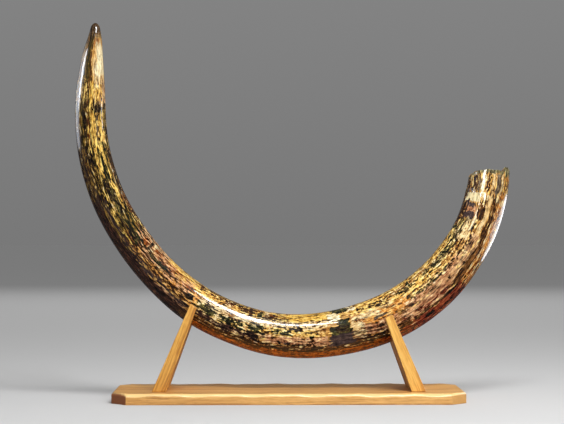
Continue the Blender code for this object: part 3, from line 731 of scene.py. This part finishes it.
def tusk_material():
    n = Nodes(bpy.data.materials.new("polished_mammoth_ivory"))
    # the lengthwise pattern wanders slowly as it runs along the tusk
    place = n.wander(n.attribute("straight", "Vector"), (0.02, 0.02, 0.04), 9, 2)
    streaky = n.vector("MULTIPLY", place, STREAKY)
    dashed = n.vector("MULTIPLY", place, DASHED)
    bands = n.noise(streaky, 46, 2)
    streaks = n.noise(streaky, 205, 3, 0.6)
    dashes = n.noise(dashed, 225, 3, 0.64)
    flecks = n.noise(place, 175, 3, 0.64, stretch=FLECKED)
    ribs = n.noise(place, 210, 2, 0.5, stretch=RIBBED)
    blotch = n.noise(place, 30, 4, 0.62)

    # the crumbled fine structure that all the colours share: high in flecks and crevices
    specks = n.plus(n.contrast(flecks, 1.7), n.contrast(ribs, 0.6))
    lines = n.plus(n.contrast(streaks, 1.5), n.contrast(dashes, 1.9))
    drawn = n.attribute("drawn")
    crumble = n.times(specks, n.scaled(drawn, -0.9, 1))
    crumble = n.scaled(lines, n.scaled(drawn, 0.3, 1), crumble)
    crumble = n.times(crumble, n.minus(1, n.attribute("calm")))

    tone = n.plus(n.contrast(bands, 1, 0.52), n.contrast(blotch, 0.8))
    colour = n.ramp(n.scaled(crumble, -0.9, tone), IVORY_STOPS, IVORY_COLOURS)
    choose = n.scaled(crumble, -1.25, n.contrast(blotch, 0.5, 0.5))
    for index, (kind, colours) in enumerate(KIND_COLOURS.items()):
        shift = KIND_SHIFT * (index + 1)
        shifted = n.vector("ADD", dashed, (shift, shift * KIND_SHIFT_ACROSS, 0))
        own = n.noise(shifted, 105, 4, 0.66)
        field = n.plus(n.attribute(kind), n.contrast(own, 1.2))
        field = n.scaled(crumble, -0.75 if kind in LIGHT_KINDS else 1, field)
        own_colour = n.ramp(choose, KIND_STOPS, colours)
        colour = n.mix(n.smooth(field, *KIND_EDGE), colour, own_colour)

    # long hair-thin cracks and short ones, darker than what they cross
    def cracks(stretch, scale, dark, clear):
        noise = n.noise(place, scale, 2, 0.5, stretch=(1, 1, stretch))
        return n.smooth(n.math("ABSOLUTE", n.minus(noise, 0.5)), dark, clear, 1, 0)

    long_cracks = n.times(cracks(*LONG_CRACKS), n.smooth(flecks, 0.35, 0.55))
    where = n.times(n.smooth(blotch, 0.42, 0.6), 0.8)
    crack = n.math("MAXIMUM", long_cracks, n.times(cracks(*SHORT_CRACKS), where))
    colour = n.mix(n.times(crack, 0.75), colour, srgb(*CRACK_COLOUR))
    stained = n.times(n.attribute("tip"), TIP_STAIN_STRENGTH)
    colour = n.mix(stained, colour, n.ramp(choose, TIP_STOPS, TIP_COLOURS))

    # inside the pulp cavity and on the broken wall
    inside = n.smooth(n.attribute("hollow"), *CAVITY_EDGE)
    rough = n.smooth(n.noise(dashed, 260, 4, 0.7), 0.3, 0.7)
    rough_colour = n.mix(rough, *(srgb(*screen) for screen in CAVITY_COLOURS))
    roughness = n.scaled(crack, 0.25, n.contrast(bands, 0.15, 0.17))
    inputs = {
        "Base Color": n.mix(inside, colour, rough_colour),
        "Roughness": n.scaled(inside, 0.45, roughness, clamp=True),
        **IVORY_FINISH,
    }
    height = n.scaled(bands, 0.5, n.scaled(crack, -0.6, n.times(streaks, 0.35)))
    return n.shade(inputs, height, bump_distance=0.0006, bump_strength=0.5)


# --- The wooden stand ---
CORNER_CLIP = 0.044
BOARD_EDGE_ROUND = 0.009
BOARD_EDGE_STEPS = 8
BOARD_FOOT_EASE = 0.0012
EDGE_STEP = 0.01
EDGE_REACH = 0.014
EDGE_WAVER = ((0.17, 0.0016, 0.6), (0.083, 0.0011, 2.3))  # wavelength, depth, phase
SUPPORT_FOOT_OUTER = 0.3862
SUPPORT_FOOT_WIDTH = 0.0407
OUTER_LEAN = math.radians(23.7)
INNER_LEAN = math.radians(19.8)
SUPPORT_EDGE_EASE = 0.0015
SHARP_ANGLE = math.radians(35)
NOTCH_EASE = 0.0006
CUTTER_RUN = (0.15, 0.8)
CUTTER_RINGS = 150
CUTTER_SIDES = 160
# Each upright: name, node, side (-1 left, 1 right), top height, top slope, tones, grain seed.
# Tones are dark, middle and light. Both uprights are the same wood: the left upright's darker tones are
# painted shade and the right's lighter tones are painted light.
UPRIGHTS = (
    ("left_upright", "left_support", -1, 0.2785, math.radians(33),
     ((180, 116, 44), (216, 154, 64), (240, 188, 94)), 1),
    ("right_upright", "right_support", 1, 0.2485, math.radians(28),
     ((204, 142, 60), (240, 182, 86), (255, 212, 120)), 2),
)
UPRIGHT_RINGS = 0.9  # the scale of the growth rings
# how strongly the uprights' faces turned to the left take painted shade
UPRIGHT_LEFT_SHADE_STRENGTH = 0.45
# What makes a face count as turned sideways, upwards, and not quite level: gain and threshold
SIDEWAYS, UPWARDS, NOT_LEVEL = (2, 0.2), (4, 0.25), (6, -0.97)
BOARD_TONES = ((176, 120, 62), (212, 156, 84), (236, 184, 110))
BOARD_RINGS = 1.3
GRAIN_SHIFT = (1.7, 0.9, 2.3)  # each plank's grain lies elsewhere by this times its seed
# Noises of the wood: scale, detail, roughness, and stretch along, across and through the plank
RING_NOISE = (2, 0.5, (0.35, 14, 22))
WOOD_NOISES = (
    (1.6, 3, 0.6, (6, 330, 330)),  # fibre
    (2.2, 3, 0.6, (1.1, 30, 40)),  # figure
    (1.5, 1, 0.5, (26, 620, 620)),  # pores
    (1.4, 2, 0.55, (3, 150, 150)),  # lines
    (1.2, 1, 0.5, (38, 260, 260)),  # rays
)
TONE_STOPS = (0.18, 0.5, 0.85)
# painted highlight along the board's eased top edges
EDGE_HIGHLIGHT_COLOUR = (255, 224, 152)
# two tones of painted shade for faces turned to the left, away from the light
LEFT_SHADE_COLOURS = ((104, 44, 26), (160, 84, 52))
SATIN_FINISH = {"Coat Weight": 0.2, "Coat Roughness": 0.2}


def box_mesh(name, place_corner):
    """A cube whose corners are moved to place_corner(sx, sy, sz), with each s -1 or 1."""
    mesh = bpy.data.meshes.new(name)
    with editing(mesh) as bm:
        bmesh.ops.create_cube(bm, size=2)
        for vertex in bm.verts:
            vertex.co = place_corner(*(1 if c > 0 else -1 for c in vertex.co))
        bmesh.ops.recalc_face_normals(bm, faces=bm.faces)
    return mesh


def bevel_edges(mesh, wanted, width, steps):
    with editing(mesh) as bm:
        edges = [e for e in bm.edges if wanted(e.verts[0].co, e.verts[1].co)]
        bmesh.ops.bevel(
            bm, geom=edges, offset=width, segments=steps, profile=0.5, affect="EDGES",
            clamp_overlap=True,
        )


def grain_attribute(mesh, origin, lean):
    """The plank's own coordinates: along its grain, front to back, and through it."""
    points = np.empty(len(mesh.vertices) * 3, dtype=np.float32)
    mesh.vertices.foreach_get("co", points)
    x, y, z = (points.reshape(-1, 3) - np.array(origin)).T
    along = x * math.cos(lean) + z * math.sin(lean)
    through = -x * math.sin(lean) + z * math.cos(lean)
    set_attribute(mesh, "grain", np.stack([along, y, through], axis=-1), "FLOAT_VECTOR")


def face_attributes(mesh, left_shade_strength, board=False):
    """Marks the faces turned to the left for painted shade, the board's cut ends, and the board's eased top
    edges for a painted highlight.
    """
    x, _, z = np.array([face.normal for face in mesh.polygons]).T

    def above(value, gain, threshold):
        return smooth_step(gain * (value - threshold))

    marks = {
        # faces turned to the left: painted shade
        "end": left_shade_strength * above(-x, *SIDEWAYS),
        "cut": board * above(np.abs(x), *SIDEWAYS),
        # the board's eased top edges: painted highlight
        "edge_highlight": board * above(z, *UPWARDS) * above(-z, *NOT_LEVEL),
    }
    for name, values in marks.items():
        set_attribute(mesh, name, values, domain="FACE")


def apply_modifiers(item):
    finished = item.evaluated_get(bpy.context.evaluated_depsgraph_get())
    mesh = bpy.data.meshes.new_from_object(finished)
    item.modifiers.clear()
    item.data = mesh


def flat_faces(item):
    """Large faces stay flat in the light, and only the eased edges turn."""
    item.data.shade_smooth()
    item.data.set_sharp_from_angle(angle=SHARP_ANGLE)
    weighted = item.modifiers.new("flat faces", "WEIGHTED_NORMAL")
    weighted.keep_sharp = True
    apply_modifiers(item)


def waver_edge(mesh, low, high):
    """The board's front and back top edges are eased by hand, a little more here and there."""
    with editing(mesh) as bm:
        for x in np.arange(low[0] + 2 * EDGE_STEP, high[0] - EDGE_STEP, EDGE_STEP):
            everything = bm.verts[:] + bm.edges[:] + bm.faces[:]
            bmesh.ops.bisect_plane(bm, geom=everything, plane_co=(x, 0, 0), plane_no=(1, 0, 0))
        for vertex in bm.verts:
            x, y, z = vertex.co
            side = 1 if y > 0 else -1
            below, behind = high[2] - z, high[1] - abs(y)
            near = max(0, 1 - below / EDGE_REACH) * max(0, 1 - behind / EDGE_REACH)
            eased = sum(size * (1 + math.sin(2 * math.pi * x / run + side * phase))
                        for run, size, phase in EDGE_WAVER)
            vertex.co.y -= side * near * eased
            vertex.co.z -= near * eased


def build_board():
    low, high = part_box("base_board")

    def corner(sx, sy, sz):
        return tuple(high[a] if s > 0 else low[a] for a, s in enumerate((sx, sy, sz)))

    thick = high[2] - low[2]
    mesh = box_mesh("board", corner)
    bevel_edges(mesh, lambda a, b: abs(a.z - b.z) > thick / 2, CORNER_CLIP, 1)
    bevel_edges(mesh, lambda a, b: min(a.z, b.z) > thick * 0.99, BOARD_EDGE_ROUND, BOARD_EDGE_STEPS)
    bevel_edges(mesh, lambda a, b: max(a.z, b.z) < thick * 0.01, BOARD_FOOT_EASE, 2)
    waver_edge(mesh, low, high)
    grain_attribute(mesh, (low[0], 0, 0), 0)
    board = add_object("board", mesh)
    flat_faces(board)
    face_attributes(board.data, 1, board=True)
    return board


def notch_cutter():
    """The tusk's plain shape, a little enlarged, that cuts the notches in the uprights."""
    place = np.arange(CUTTER_SIDES) * 360 / CUTTER_SIDES
    first, last = CUTTER_RUN
    distance = np.linspace(first * TUSK_LENGTH, last * TUSK_LENGTH, CUTTER_RINGS)
    half = tusk_width(heading_at(distance), TUSK_LENGTH - distance) / 2
    extra = np.full((CUTTER_RINGS, CUTTER_SIDES), RELIEF_LIMIT + NOTCH_EASE)
    points = sections(distance, half, place, extra).reshape(-1, 3)
    one_end = list(range(CUTTER_SIDES))
    other_end = list(reversed(range(len(points) - CUTTER_SIDES, len(points))))
    faces = ring_faces(CUTTER_RINGS, CUTTER_SIDES).tolist() + [one_end, other_end]
    return add_object("notch_cutter", closed_mesh("notch_cutter", points, faces))


def build_upright(name, node, side, top_height, top_slope, cutter):
    """One leaning upright, with its notch for the tusk."""
    low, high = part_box(node)
    foot = low[2]
    outer_foot = SUPPORT_FOOT_OUTER
    inner_foot = SUPPORT_FOOT_OUTER - SUPPORT_FOOT_WIDTH
    outer_top = outer_foot - (top_height - foot) * math.tan(OUTER_LEAN)
    fall, lean = math.tan(top_slope), math.tan(INNER_LEAN)
    start_gap = outer_top - (inner_foot - (top_height - foot) * lean)
    across = start_gap / (1 + lean * fall)
    inner_top, inner_height = outer_top - across, top_height - across * fall

    def corner(sx, sy, sz):
        if sz < 0:
            reach, height = (outer_foot if sx > 0 else inner_foot), foot
        else:
            reach, height = (outer_top, top_height) if sx > 0 else (inner_top, inner_height)
        return (STAND_X + side * reach, sy * high[1], height)

    item = add_object(name, box_mesh(name, corner))
    ease = item.modifiers.new("eased edges", "BEVEL")
    ease.width = SUPPORT_EDGE_EASE
    ease.segments = 3
    ease.limit_method = "ANGLE"
    notch = item.modifiers.new("notch", "BOOLEAN")
    notch.operation = "DIFFERENCE"
    notch.solver = "EXACT"
    notch.object = cutter
    apply_modifiers(item)
    flat_faces(item)
    face_attributes(item.data, UPRIGHT_LEFT_SHADE_STRENGTH)
    middle_lean = math.pi / 2 + side * (OUTER_LEAN + INNER_LEAN) / 2
    grain_attribute(item.data, (STAND_X + side * outer_foot, 0, foot), middle_lean)
    return item


def wood_material(name, tones, seed, ring_scale):
    """Straight-grained oak under satin varnish. The grain runs along the plank's first axis."""
    n = Nodes(bpy.data.materials.new(name))
    shift = tuple(seed * share for share in GRAIN_SHIFT)
    grain = n.vector("ADD", n.attribute("grain", "Vector"), shift)
    place = n.wander(grain, (0, 0.02, 0.02), 2.2, 2, 0.55, (1, 5, 5))
    # growth rings cut nearly square on: bands along the plank
    rings = n.noise(place, ring_scale, *RING_NOISE)
    fibre, figure, pores, lines, rays = (n.noise(place, *noise) for noise in WOOD_NOISES)

    value = n.contrast(rings, 1.1, 0.5)
    for layer, gain in ((fibre, 0.7), (figure, 1), (lines, 1.1), (rays, 0.5)):
        value = n.plus(value, n.contrast(layer, gain))
    # across the grain the pattern closes up into an even tone
    cut = n.attribute("cut")
    value = n.scaled(cut, n.times(n.minus(0.56, value), 0.85), value)
    colour = n.ramp(value, TONE_STOPS, tones)
    pore = n.times(n.smooth(pores, 0.6, 0.74), n.minus(1, cut))
    colour = n.mix(n.times(pore, 0.4), colour, srgb(*tones[0]))
    # a painted highlight along the board's eased top edges
    colour = n.mix(n.times(n.attribute("edge_highlight"), 0.6), colour, srgb(*EDGE_HIGHLIGHT_COLOUR))
    # painted shade on faces turned to the left, in two tones that follow the grain
    left_shade = n.mix(n.smooth(value, 0.2, 0.9), *(srgb(*screen) for screen in LEFT_SHADE_COLOURS))
    inputs = {
        "Base Color": n.mix(n.times(n.attribute("end"), 0.85), colour, left_shade),
        "Roughness": n.scaled(fibre, 0.18, 0.34),
        **SATIN_FINISH,
    }
    height = n.scaled(pore, -0.8, n.times(fibre, 0.5))
    return n.shade(inputs, height, bump_distance=0.0003, bump_strength=0.35)


# --- Studio ---
FRAME_WIDTH = 564
CAMERA_PLACE = (-0.0878, -4.325, 0.476)
FOCAL_PIXELS = 1500
SENSOR_WIDTH = 36
CAMERA_PITCH = math.atan2(22, FOCAL_PIXELS)  # the horizon is 22 pixels below the middle
CAMERA_YAW = math.atan2(18, FOCAL_PIXELS)  # the vanishing point is 18 pixels to its left
FLOOR_HALF = 60
FLOOR_ALBEDO = 0.56
HORIZON_RADIANCE = 0.19
ZENITH_RADIANCE = 0.42
MIRRORED_SHARE = 0.35  # how much of the studio's grey the varnish mirrors
# Each light: name, place, target, size, power. Fills are large soft lights that brighten the
# shapes but aren't mirrored in the varnish.
FILLS = (
    ("overhead_fill", (0.6, -1.6, 2.8), (0.1, 0, 0.3), (1.6, 0.7), 84),
    ("front_fill", (3, -4, 3), (0, 0, 0.4), (3.5, 3), 100),
    ("back_fill", (0, 6.5, 4.8), (0, 0, 0.4), (8, 5), 146),
)
# Sheens show as highlights in the varnish and nowhere else: along the bottom of the bow, up both
# arms, and on the root.
SHEENS = (
    ("overhead_sheen", (0.74, -2.16, 2.7), (0.74, 0, 0.35), (1.05, 0.86), 97),
    ("overhead_tail", (0.2, -1.84, 2.6), (0.2, 0, 0.35), (1.22, 0.32), 38),
    ("left_sheen", (-1.25, -0.145, 1.06), (-0.63, -0.09, 0.93), (0.26, 0.62), 2),
    ("left_halo", (-1.25, 0.2, 0.98), (-0.63, -0.09, 0.92), (1, 0.66), 0.42),
    ("left_glint", (1.2, 0.18, 0.92), (-0.45, 0.18, 0.92), (0.26, 0.08), 1.3),
    ("right_sheen", (1.25, 0.72, 0.31), (0, 0.72, 0.31), (1.35, 0.48), 8.5),
    ("root_glint", (-0.14, -1.48, 1.31), (0.56, -0.06, 0.72), (0.62, 0.14), 0.115),
)
COOL_SHEENS = ("left_sheen", "left_halo", "left_glint", "right_sheen")
COOL_LIGHT = (0.86, 0.91, 1)
LEFT_SHEEN_TILT = math.radians(-48)  # its highlight moves inwards as it climbs
SPREADS = {"left_sheen": 70, "left_halo": 40, "root_glint": 18}


def build_camera():
    data = bpy.data.cameras.new("camera")
    data.sensor_width = SENSOR_WIDTH
    data.lens = SENSOR_WIDTH * FOCAL_PIXELS / FRAME_WIDTH
    camera = add_object("camera", data)
    camera.location = CAMERA_PLACE
    camera.rotation_euler = (math.pi / 2 + CAMERA_PITCH, 0, -CAMERA_YAW)
    bpy.context.scene.camera = camera


def build_floor():
    mesh = bpy.data.meshes.new("floor")
    with editing(mesh) as bm:
        bmesh.ops.create_grid(bm, x_segments=1, y_segments=1, size=FLOOR_HALF)
    floor = add_object("floor", mesh)
    n = Nodes(bpy.data.materials.new("pale_floor"))
    inputs = {"Base Color": (FLOOR_ALBEDO,) * 3 + (1,), "Roughness": 1, "Specular IOR Level": 0}
    n.fill(n.tree.nodes["Principled BSDF"], inputs)
    mesh.materials.append(n.owner)
    floor.visible_glossy = False


def build_world():
    """A plain grey studio, a little brighter overhead, that meets the far floor without a line."""
    n = Nodes(bpy.data.worlds.new("studio"))

    def between(value, low, high):
        return n.add("MapRange", {"Value": value, "To Min": low, "To Max": high}, "Result")

    upward = n.add("SeparateXYZ", {0: n.add("TexCoord", {}, "Generated")}, "Z")
    radiance = between(upward, HORIZON_RADIANCE, ZENITH_RADIANCE)
    share = between(n.add("LightPath", {}, "Is Glossy Ray"), 1, MIRRORED_SHARE)
    inputs = {"Color": (1, 1, 1, 1), "Strength": n.times(radiance, share)}
    n.fill(n.tree.nodes["Background"], inputs)
    bpy.context.scene.world = n.owner


def add_light(is_sheen, name, place, target, size, power):
    data = bpy.data.lights.new(name, "AREA")
    data.energy = power
    data.shape = "ELLIPSE" if is_sheen else "RECTANGLE"
    data.size, data.size_y = size
    light = add_object(name, data)
    light.location = place
    aim = Vector(target) - Vector(place)
    light.rotation_euler = aim.to_track_quat("-Z", "Y").to_euler()
    light.visible_camera = False
    light.visible_diffuse = not is_sheen
    light.visible_glossy = is_sheen


def build_lights():
    for light in FILLS:
        add_light(False, *light)
    for light in SHEENS:
        add_light(True, *light)
    for name in COOL_SHEENS:
        bpy.data.lights[name].color = COOL_LIGHT
    bpy.data.objects["left_sheen"].rotation_euler.rotate_axis("Z", LEFT_SHEEN_TILT)
    for name, spread in SPREADS.items():
        bpy.data.lights[name].spread = math.radians(spread)


# --- The scene ---
def dress(piece, node, material):
    piece.data.materials.clear()
    piece.data.materials.append(material)
    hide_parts(node)
    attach(piece, "root")


def main():
    bpy.context.scene.view_settings.view_transform = "Standard"
    build_camera()
    build_world()
    build_floor()
    build_lights()
    dress(build_tusk(), "tusk", tusk_material())
    oak = wood_material("board_oak", BOARD_TONES, 0, BOARD_RINGS)
    dress(build_board(), "base_board", oak)
    cutter = notch_cutter()
    for name, node, side, height, slope, tones, seed in UPRIGHTS:
        oak = wood_material(name + "_oak", tones, seed, UPRIGHT_RINGS)
        dress(build_upright(name, node, side, height, slope, cutter), node, oak)
    bpy.data.objects.remove(cutter, do_unlink=True)


main()
